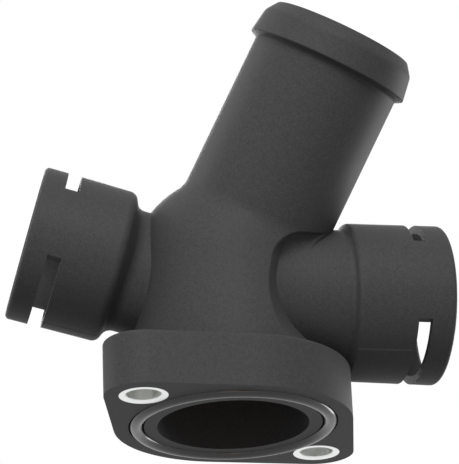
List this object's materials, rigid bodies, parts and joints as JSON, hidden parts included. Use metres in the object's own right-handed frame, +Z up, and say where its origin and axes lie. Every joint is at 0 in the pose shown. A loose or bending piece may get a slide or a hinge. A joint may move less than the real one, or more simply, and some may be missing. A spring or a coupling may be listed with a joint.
{
  "type": "coolant flange",
  "caption": "Moulded coolant flange with a slanted hose spigot, side sockets with clip slots, steel bolt sleeves and a rubber seal ring.",
  "frame": {"origin": "centre of the flange's bore, on the sealing face", "axes": "+Z up into the body along the bore, +X along the level side socket"},
  "size_m": [0.0863, 0.0586, 0.0841],
  "materials": {
    "glass_filled_nylon": "fine-grained matt charcoal moulding",
    "seal_rubber": "smooth black rubber with a soft sheen",
    "plated_steel": "bright zinc plate"
  },
  "bodies": {
    "root": {"housing": "glass_filled_nylon", "seal_ring": "seal_rubber", "bolt_sleeve_front": "plated_steel", "bolt_sleeve_rear": "plated_steel"}
  },
  "joints": []
}
